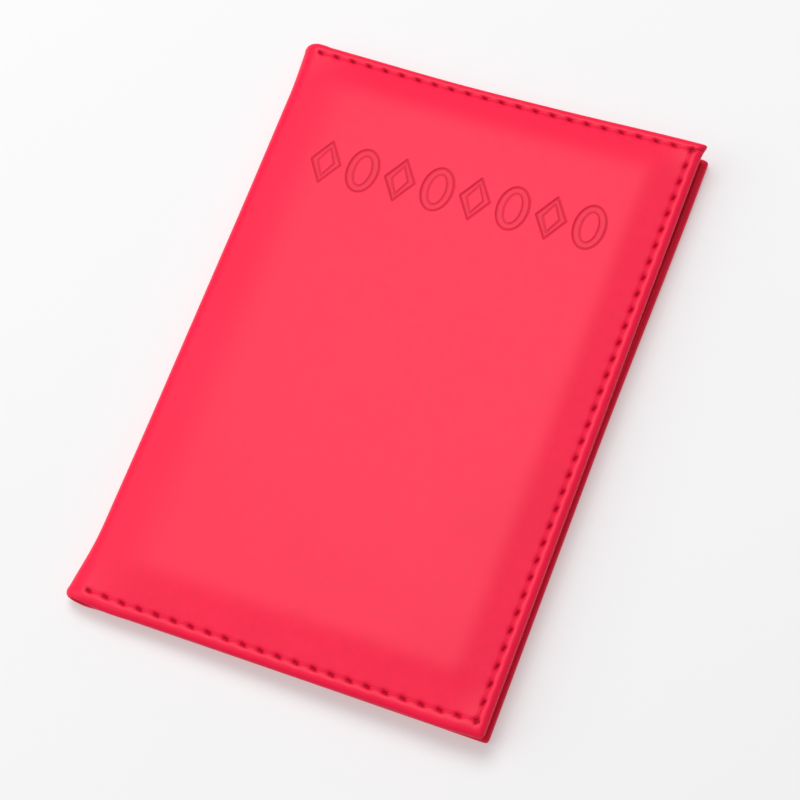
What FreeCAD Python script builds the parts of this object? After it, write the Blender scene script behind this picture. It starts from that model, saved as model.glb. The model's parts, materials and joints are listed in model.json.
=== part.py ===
import FreeCAD, Part
import math
import os

# A passport holder of soft padded leather, closed and lying on its back cover.
# +Z is up, +Y runs to the top edge, the fold is on the -X side and the covers open
# on the +X side. The origin is under the middle of the closed holder. All in mm.
#
# A cover is made in its own frame and then placed: "along" (x) is measured from the
# middle of the fold towards the opening edge, y is the same as the holder's, and
# "depth" (z) is measured inwards from the cover's outer face.

Vector = FreeCAD.Vector

# ---------------------------------------------------------------- driving sizes
holder_height = 143.0        # along Y
holder_width = 96.0          # along X, with the covers closed
front_setback = 0.3          # the front cover ends this much short of the back cover
leaf_gap = 1.8               # free space between the inner faces at the opening edge

# layers of a cover, from the outside in
leather_thickness = 0.7
foam_thickness = 0.5
board_thickness = 0.4
lining_thickness = 0.2
hem_thickness = 0.4          # the leather's turned-in edge, pared thin
sleeve_thickness = 0.5
pocket_thickness = 0.4       # each of the two card pockets, one on the other

# edges of a cover
hem_width = 9.0              # how far the turned-in edge reaches in
edge_roll_radius = 1.1       # rounded outer edge of the leather
corner_radius = 1.3          # corners of a cover, seen from above
filling_gap = 0.3            # between the leather's edge wall and what it encloses
crease_gap = 0.1             # between the pieces on the two sides of a crease
ramp_start = 1.0             # the lining rises from the fold onto the board here
ramp_end = 3.0
board_start_gap = 0.2        # from the top of that rise to the foam and the board

# sleeves and card pockets
sleeve_setback = 1.0         # a sleeve ends this much inside the cover's edges
sleeve_mouth_gap = 0.45      # between the two sleeves at their mouths, closed
pocket_mouth_gap = 0.32      # between a card pocket's mouth and the other cover, closed
pocket_setback = 7.0         # the card pockets end this far from the opening edge
pocket_height = 95.0         # takes the long side of a bank card
sleeve_corner_radius = 1.0

# stitching
stitch_pitch = 4.1
stitch_inset = 2.4           # rows run this far inside a cover's edges
pocket_stitch_inset = 2.0    # rows run this far inside a pocket's or sleeve's own edges
stitch_gap = 1.1             # needle hole between one stitch and the next
thread_width = 0.5
thread_height = 0.2
groove_width = 0.7
groove_depth = 0.25
outer_row_start = 1.0        # the outer rows stop this far from the middle of the fold
inner_row_start = 3.6

# band of pressed outlines across the front cover
band_length = 70.0
band_height = 11.0
band_from_top = 28.3         # top edge of the cover to the band's middle line
band_shift = -1.0            # middle of the band from the holder's middle, along X
band_turn = 1.6              # degrees, rising towards the opening edge
band_shapes = 8
shape_gap = 1.6              # between neighbouring shapes
outline_width = 0.35
outline_depth = 0.15
outline_step = 1.5           # from a shape's outer outline to its inner one

# ---------------------------------------------------------------- worked out
lining_top = leather_thickness + foam_thickness + board_thickness + lining_thickness
hem_top = lining_top + hem_thickness
sleeve_top = hem_top + sleeve_thickness
fold_radius = sleeve_top                 # the two sleeves would meet in the middle
fold_middle = fold_radius - holder_width / 2
back_length = holder_width - fold_radius
front_length = back_length - front_setback
half_height = holder_height / 2
fold_lining_top = leather_thickness + lining_thickness
fold_hem_top = fold_lining_top + hem_thickness
pockets_thickness = 2 * pocket_thickness
cover_tilt = math.degrees(math.asin((pockets_thickness + leaf_gap) / front_length))
opening_slope = math.tan(math.radians(cover_tilt))
sleeve_mouth = sleeve_mouth_gap / opening_slope
rear_pocket_mouth = (pocket_thickness + pocket_mouth_gap) / opening_slope
front_pocket_mouth = (pockets_thickness + pocket_mouth_gap) / opening_slope
crease_angle = 45.0                      # a crease is this far round the fold
crease_half_gap = math.degrees(crease_gap / 2 / (fold_radius - leather_thickness))


def block(along, across, depth):
    """A box from three (low, high) pairs."""
    size = [pair[1] - pair[0] for pair in (along, across, depth)]
    return Part.makeBox(*size, Vector(along[0], across[0], depth[0]))


def fold_point(radius, angle):
    """A point round the fold; 0 is where a cover's flat part starts."""
    turn = math.radians(angle)
    return Vector(-radius * math.sin(turn), 0, fold_radius - radius * math.cos(turn))


def fold_arc(radius, first, last):
    middle = (first + last) / 2
    points = [fold_point(radius, angle) for angle in (first, middle, last)]
    return Part.Arc(*points).toShape()


def lines(points):
    return [Part.makeLine(a, b) for a, b in zip(points, points[1:])]


def raised(points, fold_depth, flat_depth, end):
    """Points of a layer's face: level by the fold, up the ramp, then flat."""
    if flat_depth != fold_depth:
        points += [Vector(ramp_start, 0, fold_depth), Vector(ramp_end, 0, flat_depth)]
    points.append(Vector(end, 0, flat_depth))
    return points


def layer(outer, inner, end, half_width):
    """A layer of a cover, round its share of the fold and on to 'end'.

    outer and inner are each (depth in the fold, depth on the flat part).
    """
    turn = crease_angle - crease_half_gap
    outside = raised([Vector(0, 0, outer[0])], outer[0], outer[1], end)
    inside = raised([Vector(0, 0, inner[0])], inner[0], inner[1], end)
    outer_radius = fold_radius - outer[0]
    inner_radius = fold_radius - inner[0]
    edges = [fold_arc(outer_radius, turn, 0)]
    edges += lines(outside + inside[::-1])
    edges.append(fold_arc(inner_radius, 0, turn))
    edges.append(Part.makeLine(fold_point(inner_radius, turn), fold_point(outer_radius, turn)))
    wire = Part.Wire(Part.__sortEdges__(edges))
    solid = Part.Face(wire).extrude(Vector(0, 2 * half_width, 0))
    solid.translate(Vector(0, -half_width, 0))
    return solid


def edges_where(shape, test):
    return [edge for edge in shape.Edges if test(edge)]


def edge_span(edge):
    box = edge.BoundBox
    return box.XLength, box.YLength, box.ZLength


def is_corner(edge, end):
    """An upright edge at the two corners of a cover or sleeve."""
    x_span, y_span, z_span = edge_span(edge)
    return x_span < 1e-6 and y_span < 1e-6 and abs(edge.CenterOfMass.x - end) < 1e-6


def on_outer_face(point):
    """True on a cover's flat outer face, and on the outside of the fold."""
    if point.x > 0:
        return abs(point.z) < 1e-6
    return abs(math.hypot(point.x, point.z - fold_radius) - fold_radius) < 1e-6


def is_outline(edge, end):
    """An edge round the outer face, leaving out what runs across it beside the fold."""
    across = edge_span(edge)[1] > half_height and edge.CenterOfMass.x < end - corner_radius
    return not across and all(on_outer_face(point) for point in edge.discretize(3))


def side_rows(start, end, level):
    """Two rows of stitching along the top and the bottom, as (first, last) points."""
    return [((start, y), (end, y)) for y in (level, -level)]


def edge_rows(start, end, level):
    """The same two rows, joined by one along the opening side."""
    return side_rows(start, end, level) + [((end, -level), (end, level))]


def row_box(row, half_wide, depth, trim):
    """A straight bar along a row; trim shortens it at both ends."""
    (x1, y1), (x2, y2) = row
    if abs(x2 - x1) > abs(y2 - y1):
        return block((x1 + trim, x2 - trim), (y1 - half_wide, y1 + half_wide), depth)
    return block((x1 - half_wide, x1 + half_wide), (y1 + trim, y2 - trim), depth)


def groove(rows, face, inwards):
    """The pressed channel of some rows; inwards is 1 or -1, from 'face' into the sheet."""
    low, high = sorted((face, face + inwards * groove_depth))
    bars = [row_box(row, groove_width / 2, (low, high), -groove_width / 2) for row in rows]
    return bars[0].multiFuse(bars[1:]) if len(bars) > 1 else bars[0]


def stitches(rows, face, inwards):
    """Separate thread bars in the channel, one per stitch."""
    top = face + inwards * (groove_depth - thread_height) / 2
    low, high = sorted((top, top + inwards * thread_height))
    bars = []
    for first, last in rows:
        begin = Vector(*first)
        whole = Vector(*last) - begin
        count = max(1, round(whole.Length / stitch_pitch))
        ends = [begin + whole * (index / count) for index in range(count + 1)]
        for one, other in zip(ends, ends[1:]):
            piece = ((one.x, one.y), (other.x, other.y))
            bars.append(row_box(piece, thread_width / 2, (low, high), stitch_gap / 2))
    return bars


def outer_rows(length):
    return edge_rows(outer_row_start, length - stitch_inset, half_height - stitch_inset)


def hem_rows():
    """Rows on the turned-in edge, from the fold to the sleeve's mouth."""
    return side_rows(inner_row_start, sleeve_mouth - groove_width, half_height - stitch_inset)


def sleeve_rows(length):
    return edge_rows(sleeve_mouth, length - stitch_inset, half_height - stitch_inset)


def mouth_row(mouth, half_width):
    """One row along the open edge of a sleeve or pocket."""
    along = mouth + pocket_stitch_inset
    return [((along, -half_width), (along, half_width))]


def outer_leather(length):
    """The outer skin with its turned-in edge on three sides."""
    skin = layer((0, 0), (fold_hem_top, hem_top), length, half_height)
    skin = skin.makeFillet(corner_radius, edges_where(skin, lambda edge: is_corner(edge, length)))
    skin = skin.makeFillet(
        edge_roll_radius, edges_where(skin, lambda edge: is_outline(edge, length))
    )
    filling = layer(
        (leather_thickness, leather_thickness),
        (fold_lining_top, lining_top),
        length - leather_thickness,
        half_height - leather_thickness,
    )
    window = layer(
        (fold_lining_top, lining_top),
        (fold_hem_top + hem_thickness, hem_top + hem_thickness),
        length - hem_width,
        half_height - hem_width,
    )
    skin = skin.cut(filling).cut(window)
    skin = skin.cut(groove(outer_rows(length), 0, 1))
    return skin.cut(groove(hem_rows(), hem_top, -1))


def filling_plate(length, low, high):
    """A flat layer enclosed by the leather's edges."""
    reach = leather_thickness + filling_gap
    half_width = half_height - reach
    return block((ramp_end + board_start_gap, length - reach), (-half_width, half_width), (low, high))


def foam_pad(length):
    low = leather_thickness
    return filling_plate(length, low, low + foam_thickness)


def stiffener_board(length):
    low = leather_thickness + foam_thickness
    return filling_plate(length, low, low + board_thickness)


def lining(length):
    reach = leather_thickness + filling_gap
    outer = (leather_thickness, lining_top - lining_thickness)
    return layer(outer, (fold_lining_top, lining_top), length - reach, half_height - reach)


def passport_sleeve(length):
    """Flat sleeve sewn to the turned-in edge on three sides, open towards the fold."""
    end = length - sleeve_setback
    half_width = half_height - sleeve_setback
    plate = block((sleeve_mouth, end), (-half_width, half_width), (hem_top, sleeve_top))
    plate = plate.makeFillet(
        sleeve_corner_radius, edges_where(plate, lambda edge: is_corner(edge, end))
    )
    inner = half_height - stitch_inset - groove_width
    plate = plate.cut(groove(sleeve_rows(length), sleeve_top, -1))
    return plate.cut(groove(mouth_row(sleeve_mouth, inner), sleeve_top, -1))


def inner_stitches(length):
    on_hem = stitches(hem_rows(), hem_top, -1)
    return on_hem + stitches(sleeve_rows(length), sleeve_top, -1)


def sleeve_mouth_stitches():
    inner = half_height - stitch_inset - groove_width
    return stitches(mouth_row(sleeve_mouth, inner), sleeve_top, -1)


def card_pocket(mouth, rows, low):
    """One card pocket: a flat panel sewn on three sides, open towards the fold."""
    top = low + pocket_thickness
    far = front_length - pocket_setback
    inner = pocket_height / 2 - pocket_stitch_inset - groove_width
    panel = block((mouth, far), (-pocket_height / 2, pocket_height / 2), (low, top))
    panel = panel.cut(groove(rows, top, -1))
    return panel.cut(groove(mouth_row(mouth, inner), top, -1))


def pocket_mouth_stitches(mouth, low):
    inner = pocket_height / 2 - pocket_stitch_inset - groove_width
    return stitches(mouth_row(mouth, inner), low + pocket_thickness, -1)


def lozenge_outline(half_long, half_high):
    corners = [(half_long, 0), (0, half_high), (-half_long, 0), (0, -half_high)]
    points = [Vector(x, y, 0) for x, y in corners + corners[:1]]
    return Part.Face(Part.makePolygon(points))


def oval_outline(half_long, half_high):
    long_way, short_way = max(half_long, half_high), min(half_long, half_high)
    oval = Part.Ellipse(Vector(0, 0, 0), long_way, short_way).toShape()
    face = Part.Face(Part.Wire(oval))
    if half_high > half_long:
        face.rotate(Vector(0, 0, 0), Vector(0, 0, 1), 90)
    return face


def outline_ring(make_face, half_long, half_high):
    ring = make_face(half_long, half_high).cut(
        make_face(half_long - outline_width, half_high - outline_width)
    )
    return ring.extrude(Vector(0, 0, outline_depth))


def pressed_band():
    """Lozenges and ovals in turn, each an outline within an outline."""
    step = (band_length + shape_gap) / band_shapes
    half_long = (step - shape_gap) / 2
    half_high = band_height / 2
    rings = []
    for index in range(band_shapes):
        make_face = oval_outline if index % 2 else lozenge_outline
        for inset in (0, outline_step):
            ring = outline_ring(make_face, half_long - inset, half_high - inset)
            ring.translate(Vector((index - (band_shapes - 1) / 2) * step, 0, 0))
            rings.append(ring)
    band = Part.makeCompound(rings)
    band.rotate(Vector(0, 0, 0), Vector(0, 0, 1), band_turn)
    band.translate(Vector(band_shift - fold_middle, half_height - band_from_top, 0))
    return band


def fold_ring(outer_depth, inner_depth, half_width):
    """The part of a layer between the two creases."""
    first = crease_angle + crease_half_gap
    last = 180.0 - cover_tilt - first
    outer_radius = fold_radius - outer_depth
    inner_radius = fold_radius - inner_depth
    edges = [
        fold_arc(outer_radius, first, last),
        Part.makeLine(fold_point(outer_radius, last), fold_point(inner_radius, last)),
        fold_arc(inner_radius, last, first),
        Part.makeLine(fold_point(inner_radius, first), fold_point(outer_radius, first)),
    ]
    solid = Part.Face(Part.Wire(edges)).extrude(Vector(0, 2 * half_width, 0))
    solid.translate(Vector(0, -half_width, 0))
    return solid


def spine_leather():
    skin = fold_ring(0, fold_hem_top, half_height)
    skin = skin.makeFillet(edge_roll_radius, edges_where(skin, lambda edge: is_outline(edge, 0)))
    filling = fold_ring(leather_thickness, fold_lining_top, half_height - leather_thickness)
    window = fold_ring(fold_lining_top, fold_hem_top + hem_thickness, half_height - hem_width)
    return skin.cut(filling).cut(window)


def spine_lining():
    return fold_ring(
        leather_thickness, fold_lining_top, half_height - leather_thickness - filling_gap
    )


def on_back(shape):
    """Places a back-cover or spine piece: its outer face rests at z = 0."""
    placed = shape.copy()
    placed.translate(Vector(fold_middle, 0, 0))
    return placed


def on_front(shape):
    """Places a front-cover piece: turned over, and tilted about the fold."""
    placed = shape.mirror(Vector(0, 0, fold_radius), Vector(0, 0, 1))
    placed.rotate(Vector(0, 0, fold_radius), Vector(0, 1, 0), -cover_tilt)
    placed.translate(Vector(fold_middle, 0, 0))
    return placed


def save(name, shape):
    """Writes one node: a solid, or a group of like solids."""
    solids = shape if isinstance(shape, list) else shape.Solids
    group = solids[0] if len(solids) == 1 else Part.makeCompound(solids)
    if not group.isValid():
        raise ValueError(name + " is not a valid solid")
    group.exportStep(os.path.join("parts", name + ".step"))
    box = group.BoundBox
    print(
        f"{name}: {len(solids)} solid(s), x {box.XMin:.2f} to {box.XMax:.2f}, "
        f"y {box.YMin:.2f} to {box.YMax:.2f}, z {box.ZMin:.2f} to {box.ZMax:.2f}"
    )


def save_cover(side, place, length, leather):
    """The pieces that both covers have."""
    pieces = {
        "outer_leather": leather,
        "foam_pad": foam_pad(length),
        "stiffener_board": stiffener_board(length),
        "lining": lining(length),
        "passport_sleeve": passport_sleeve(length),
        "outer_stitches": stitches(outer_rows(length), 0, 1),
        "inner_stitches": inner_stitches(length),
        "sleeve_mouth_stitches": sleeve_mouth_stitches(),
    }
    for name, shape in pieces.items():
        solids = shape if isinstance(shape, list) else [shape]
        placed = [solid for piece in solids for solid in place(piece).Solids]
        save(side + "_" + name, placed)


def save_card_pockets():
    level = pocket_height / 2 - pocket_stitch_inset
    far = front_length - pocket_setback - pocket_stitch_inset
    short_rows = side_rows(rear_pocket_mouth, front_pocket_mouth - groove_width, level)
    long_rows = edge_rows(front_pocket_mouth, far, level)
    front_level = sleeve_top + pocket_thickness
    rear = card_pocket(rear_pocket_mouth, short_rows, sleeve_top)
    front = card_pocket(front_pocket_mouth, long_rows, front_level)
    seam = stitches(short_rows, front_level, -1)
    seam += stitches(long_rows, front_level + pocket_thickness, -1)
    groups = {
        "rear_card_pocket": [rear],
        "front_card_pocket": [front],
        "card_pocket_seam_stitches": seam,
        "rear_pocket_mouth_stitches": pocket_mouth_stitches(rear_pocket_mouth, sleeve_top),
        "front_pocket_mouth_stitches": pocket_mouth_stitches(front_pocket_mouth, front_level),
    }
    for name, shapes in groups.items():
        save(name, [solid for shape in shapes for solid in on_front(shape).Solids])


def crease_axes():
    """The two hinge lines, on the outer surface of the fold."""
    back = fold_point(fold_radius, crease_angle)
    front = fold_point(fold_radius, 180.0 - cover_tilt - crease_angle)
    for name, point in (("back_crease", back), ("front_crease", front)):
        print(f"{name}: x {point.x + fold_middle:.4f}, z {point.z:.4f}")
    print(f"cover_tilt {cover_tilt:.4f} degrees")


os.makedirs("parts", exist_ok=True)
save_cover("back", on_back, back_length, outer_leather(back_length))
save_cover("front", on_front, front_length, outer_leather(front_length).cut(pressed_band()))
save_card_pockets()
save("spine_outer_leather", on_back(spine_leather()))
save("spine_lining", on_back(spine_lining()))
crease_axes()
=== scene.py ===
import json
import math
import bmesh
import bpy
import numpy as np
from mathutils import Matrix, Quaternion, Vector


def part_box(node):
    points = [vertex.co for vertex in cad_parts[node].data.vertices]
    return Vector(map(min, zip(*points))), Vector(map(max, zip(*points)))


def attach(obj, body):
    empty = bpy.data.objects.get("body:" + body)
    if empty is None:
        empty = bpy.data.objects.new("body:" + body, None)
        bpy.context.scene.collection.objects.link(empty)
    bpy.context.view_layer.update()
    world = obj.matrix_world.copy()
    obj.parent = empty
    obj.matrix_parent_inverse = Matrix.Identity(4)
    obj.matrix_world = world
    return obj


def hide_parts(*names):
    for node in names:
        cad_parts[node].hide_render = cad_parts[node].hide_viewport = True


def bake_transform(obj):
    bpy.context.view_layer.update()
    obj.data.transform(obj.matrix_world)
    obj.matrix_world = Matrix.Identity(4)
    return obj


# A closed passport holder of padded coated leather. A cover is laid out as a flat sheet
# first: "along" runs from the middle of the fold to the opening edge, y is the holder's
# own, and "depth" goes in from the outer face. place() then folds the sheet to its shape.

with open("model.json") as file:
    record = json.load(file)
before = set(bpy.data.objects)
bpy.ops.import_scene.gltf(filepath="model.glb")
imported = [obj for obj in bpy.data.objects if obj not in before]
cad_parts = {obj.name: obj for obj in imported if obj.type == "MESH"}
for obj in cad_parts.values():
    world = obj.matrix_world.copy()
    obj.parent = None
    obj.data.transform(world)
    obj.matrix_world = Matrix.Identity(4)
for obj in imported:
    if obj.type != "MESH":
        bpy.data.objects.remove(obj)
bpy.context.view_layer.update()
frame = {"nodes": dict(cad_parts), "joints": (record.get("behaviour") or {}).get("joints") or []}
MM = 0.001

# ---- sizes taken from the frame
TILT = math.radians(90.0 - frame["joints"][1]["range_deg"][1])
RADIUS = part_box("back_passport_sleeve")[1].z
FOLD_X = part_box("spine_outer_leather")[0].x + RADIUS
HALF_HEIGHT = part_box("back_outer_leather")[1].y
HEM_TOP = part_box("back_outer_leather")[1].z
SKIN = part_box("back_foam_pad")[0].z
LINING_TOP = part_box("back_lining")[1].z
LINING = LINING_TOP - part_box("back_stiffener_board")[1].z
FOLD_LINING_TOP = SKIN + LINING
FOLD_HEM_TOP = FOLD_LINING_TOP + HEM_TOP - LINING_TOP
QUARTER = RADIUS * (math.pi - TILT) / 2
HALF_WIDTH = -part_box("spine_outer_leather")[0].x
RAMP = (1.0 * MM, 3.0 * MM)           # where the layers by the fold climb onto the board
CORNER_AT = 2 * HALF_WIDTH - RADIUS   # along, of a cover's opening corners

# ---- sizes of the finish
HEM_WIDTH = 9.0 * MM
EDGE_BAND = 1.6 * MM           # from an edge to the flat sheet, and a cover's corner radius
PANEL_BAND = 0.9 * MM          # the same for sleeves and pockets
STITCH_INSET = 2.4 * MM
STITCH_PITCH = 4.1 * MM
OUTER_ROW_START = 1.0 * MM
INNER_ROW_START = 3.6 * MM
OWN_STITCH_INSET = 2.0 * MM    # rows of sleeves and pockets inside their own edges
GROOVE_WIDTH = 0.7 * MM
GROOVE_DEPTH = {"cover": 0.22 * MM, "panel": 0.12 * MM}
HOLE_DEPTH = {"cover": 0.55 * MM, "panel": 0.3 * MM}
HOLE_SIZE = (0.78 * MM, 0.3 * MM)     # half the length and half the width of a needle hole
HOLE_SLANT = math.radians(14.0)
HOLE_REACH = 0.6 * MM          # thread goes down this far from a needle hole's middle
CHANNEL = 0.42 * MM            # half the width of the groove the thread pulls
DEEPEST = 0.62 * MM            # nothing presses through the 0.7 mm skin
THREAD_RADIUS = 0.18 * MM
THREAD_TWIST = 1.6 * MM        # one turn of its plies
OUTER_THREAD = (0.5 * MM, -0.12 * MM)   # how deep it dives, and how high its middle lies
INNER_THREAD = (0.3 * MM, -0.03 * MM)
CROWN = 1.6 * MM               # the padding lifts the middle of the front cover this much
BACK_SINK = 0.3 * MM           # and the seams draw in the back cover's edges this much
SIMULATED = 0.2                # the part of the padding's height that the cloth decides
SLOPES = {                     # of the padding: width of the even slope, and of the bend
    "top": (3.0 * MM, 8.0 * MM), "bottom": (6.0 * MM, 5.5 * MM),
    "opening": (5.0 * MM, 5.5 * MM), "fold": (2.5 * MM, 13.0 * MM),
}
PUFF = 0.12 * MM               # swell of the turned edge outside the seam
ROOT_CELL = 4.8 * MM
CORNER_POWER = 4.0             # 2 is a round corner; more is squarer
SHARP_TURN = math.radians(60.0)   # edges that turn more than this are cut edges

# How far edges stand out or draw in. Shares count from the fold, or from the middle up.
FOLD_PULL = 0.5 * MM           # top and bottom, at the middle of the fold
TIP_OUT = 1.1 * MM             # the front cover's top corner
TIP_SIZE = (3.0 * MM, 1.2 * MM)
BACK_OUT = 0.8 * MM            # the back cover's opening edge
TOP_RISE = 0.75 * MM           # the top edges, at the opening corner
TOP_DIP = 0.6 * MM             # and between there and the fold
BACK_TOP_DROP = 1.1 * MM       # the back cover's top corner hangs lower than the front's
BACK_LOW = 0.62 * MM           # the bottom edges
FRONT_LOW = (0.4 * MM, 0.7 * MM)
RIM_LOW = (0.3 * MM, 0.5 * MM)   # the front's rim goes on past its seam
FOLD_ENDS = (0.9 * MM, 1.8 * MM)   # the fold's top and bottom ends stand out
FOLD_WAIST = 0.25 * MM         # and it is pressed in between them

BAND_LENGTH = 70.0 * MM
BAND_HEIGHT = 11.0 * MM
BAND_MIDDLE = (-1.0 * MM - FOLD_X, HALF_HEIGHT - 28.3 * MM)
BAND_TURN = math.radians(1.6)
BAND_SHAPES = 8
SHAPE_GAP = 1.6 * MM
OUTLINE_STEP = 1.5 * MM
LINE_WIDTH = 0.17 * MM
LINE_DEPTH = 0.13 * MM
BETWEEN_DEPTH = 0.05 * MM


# ---- from sheet to holder
def ramp(along):
    """0 by the fold, 1 where the layers lie on the board."""
    t = np.clip((along - RAMP[0]) / (RAMP[1] - RAMP[0]), 0, 1)
    return t * t * (3 - 2 * t)


def hem_depth(along):
    return FOLD_HEM_TOP + (HEM_TOP - FOLD_HEM_TOP) * ramp(along)


def lining_depth(along):
    return FOLD_LINING_TOP + (LINING_TOP - FOLD_LINING_TOP) * ramp(along)


def soft_step(t):
    t = np.clip(t, 0, 1)
    return t * t * (3 - 2 * t)


def end_pull(along):
    """How much the sheet's top and bottom draw in round the fold."""
    return FOLD_PULL * np.clip(-along / QUARTER, 0, 1) ** 2


def edge_shift(side, along, y):
    """The seams draw the edges in, so the corners stand out: shifts in x and y."""
    up = y / HALF_HEIGHT
    far = along / (HALF_WIDTH * 2)
    high = np.clip(up, 0, 1)
    top = TOP_RISE * soft_step((far - 0.6) / 0.4) * high**3
    top = top - TOP_DIP * np.exp(-(((far - 0.36) / 0.25) ** 2)) * high**12
    if side == "front":
        out = TIP_OUT * np.exp(-np.abs(HALF_HEIGHT - y) / TIP_SIZE[1])
        out = out * np.exp(-np.abs(CORNER_AT - along) / TIP_SIZE[0])
        low = soft_step(far / 0.75) * (1 - 0.9 * soft_step((far - 0.8) / 0.22))
        low = FRONT_LOW[0] + FRONT_LOW[1] * low
    else:
        out = BACK_OUT * soft_step(up + 0.1) * soft_step((far - 0.3) / 0.7)
        low = BACK_LOW * np.clip(far, 0, 1) ** 1.6
        top = top - BACK_TOP_DROP * soft_step((far - 0.8) / 0.2) * high**3
    low = low * np.clip(-up, 0, 1) ** 3 * soft_step(far / 0.12)
    if side == "front":
        rim = soft_step((STITCH_INSET - HALF_HEIGHT - y) / STITCH_INSET)
        rim = rim * soft_step((along + QUARTER) / (12 * MM))
        by_corner = soft_step((np.abs(far - 0.45) - 0.3) / 0.15)
        low = low + rim * (RIM_LOW[0] + RIM_LOW[1] * by_corner)
    return out, top - low


def corner_flare(y):
    """How much the fold stands out at its two ends, and is pressed in between them."""
    up = y / HALF_HEIGHT
    ends = FOLD_ENDS[0] * soft_step((up - 0.8) / 0.25)
    ends = ends + FOLD_ENDS[1] * soft_step((-up - 0.72) / 0.3) ** 1.5
    return ends - FOLD_WAIST * soft_step((0.85 - np.abs(up)) / 0.5)


def place(side, along, y, depth):
    """Sheet coordinates to the holder's frame, as an array of points."""
    along, y, depth = np.broadcast_arrays(along, y, depth)
    turn = np.clip(-along, 0, None) / RADIUS
    radius = RADIUS - depth
    out, up = edge_shift(side, along, y)
    flare = corner_flare(y) * np.sin(turn)
    x = np.where(along >= 0, along, -(radius + flare) * np.sin(turn)) + out
    z = np.where(along >= 0, depth, RADIUS - radius * np.cos(turn))
    y = y * (1 - end_pull(along) / HALF_HEIGHT) + up
    if side == "front":
        rise = RADIUS - z
        z = RADIUS + x * math.sin(TILT) + rise * math.cos(TILT)
        x = x * math.cos(TILT) - rise * math.sin(TILT)
    return np.stack([x + FOLD_X, y, z], axis=-1)


def sheet_box(node, side):
    """The (low, high) ranges of a CAD node in its cover's sheet coordinates."""
    points = np.array([v.co for v in frame["nodes"][node].data.vertices])
    x = points[:, 0] - FOLD_X
    z = points[:, 2]
    if side == "front":
        rise = z - RADIUS
        z = RADIUS - (rise * math.cos(TILT) - x * math.sin(TILT))
        x = x * math.cos(TILT) + rise * math.sin(TILT)
    return [(values.min(), values.max()) for values in (x, points[:, 1], z)]


LENGTH = {side: sheet_box(side + "_outer_leather", side)[0][1] for side in ("back", "front")}


# ---- a sheet of halving cells
NEIGHBOURS = ((0, -1), (1, 0), (0, 1), (-1, 0))


def grown(mask):
    """The mask, and the cells beside it."""
    out = mask.copy()
    for step in NEIGHBOURS:
        out |= shifted(mask, step)
    return out


def blocks(mask, size):
    rows, columns = mask.shape
    return mask.reshape(rows // size, size, columns // size, size).any(axis=(1, 3))


def doubled(mask):
    return mask.repeat(2, axis=0).repeat(2, axis=1)


def shifted(mask, step):
    """The mask of each cell's neighbour in one direction; beyond the edge it is False."""
    out = np.zeros_like(mask)
    a, b = step
    rows, columns = mask.shape
    out[max(0, -a):rows - max(0, a), max(0, -b):columns - max(0, b)] = mask[
        max(0, a):rows + min(0, a), max(0, b):columns + min(0, b)
    ]
    return out


class CellSheet:
    """Cells that halve where detail asks for it, with neighbours at most one size apart."""

    def __init__(self, along_range, y_range, finest, wanted):
        spans = (along_range[1] - along_range[0], y_range[1] - y_range[0])
        roots = [max(1, round(span / ROOT_CELL)) for span in spans]
        self.ranges = (along_range, y_range)
        self.finest = finest
        self.count = [root << finest for root in roots]
        self.low = (along_range[0], y_range[0])
        self.step = [span / count for span, count in zip(spans, self.count)]
        middles = [
            low + (np.arange(count) + 0.5) * step
            for low, count, step in zip(self.low, self.count, self.step)
        ]
        self.levels = wanted(*np.meshgrid(*middles, indexing="ij"))
        self.split()
        self.weave()

    def split(self):
        self.splits = [None] * (self.finest + 1)
        self.splits[self.finest] = np.zeros(self.count, bool)
        for level in range(self.finest - 1, -1, -1):
            need = blocks(self.levels > level, 1 << (self.finest - level))
            need |= blocks(grown(self.splits[level + 1]), 2)
            self.splits[level] = need

    def weave(self):
        """Corner numbers of every cell, with a middle point where a neighbour is halved."""
        wide = self.count[1] + 1
        self.faces = []
        self.cell_level = np.zeros(self.count, int)
        exists = np.ones([count >> self.finest for count in self.count], bool)
        for level in range(self.finest + 1):
            leaf = exists & ~self.splits[level]
            step = 1 << (self.finest - level)
            self.cell_level[leaf.repeat(step, axis=0).repeat(step, axis=1)] = level
            sides = [shifted(self.splits[level], way) for way in NEIGHBOURS]
            code = sum(side.astype(int) << bit for bit, side in enumerate(sides))
            for pattern in range(16):
                rows, columns = np.nonzero(leaf & (code == pattern))
                if not len(rows):
                    continue
                corners = ((0, 0), (2, 0), (2, 2), (0, 2))
                halfway = ((1, 0), (2, 1), (1, 2), (0, 1))
                loop = []
                for bit in range(4):
                    loop.append(corners[bit])
                    if pattern >> bit & 1:
                        loop.append(halfway[bit])
                numbers = [
                    (rows * step + a * step // 2) * wide + columns * step + b * step // 2
                    for a, b in loop
                ]
                self.faces += np.stack(numbers, axis=1).tolist()
            exists = doubled(self.splits[level]) if level < self.finest else exists
        used = sorted({number for face in self.faces for number in face})
        self.index = {number: position for position, number in enumerate(used)}
        self.faces = [[self.index[number] for number in face] for face in self.faces]
        grid = np.array(used)
        self.along = self.low[0] + grid // wide * self.step[0]
        self.y = self.low[1] + grid % wide * self.step[1]

    def edge(self, name):
        """Vertex numbers along one edge: 'start' and 'end' in along, 'low' and 'high' in y."""
        rows, columns = self.count[0] + 1, self.count[1] + 1
        grid = np.arange(rows * columns).reshape(rows, columns)
        lines = {"start": grid[0], "end": grid[-1], "low": grid[:, 0], "high": grid[:, -1]}
        return [self.index[number] for number in lines[name] if number in self.index]

    def plain_twin(self):
        """A coarse sheet with the same points along its four edges."""
        edge_level = np.zeros(self.count, int)
        for line in (np.s_[0, :], np.s_[-1, :], np.s_[:, 0], np.s_[:, -1]):
            edge_level[line] = self.cell_level[line]
        return CellSheet(*self.ranges, self.finest, lambda along, y: np.maximum(edge_level, 1))


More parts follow.
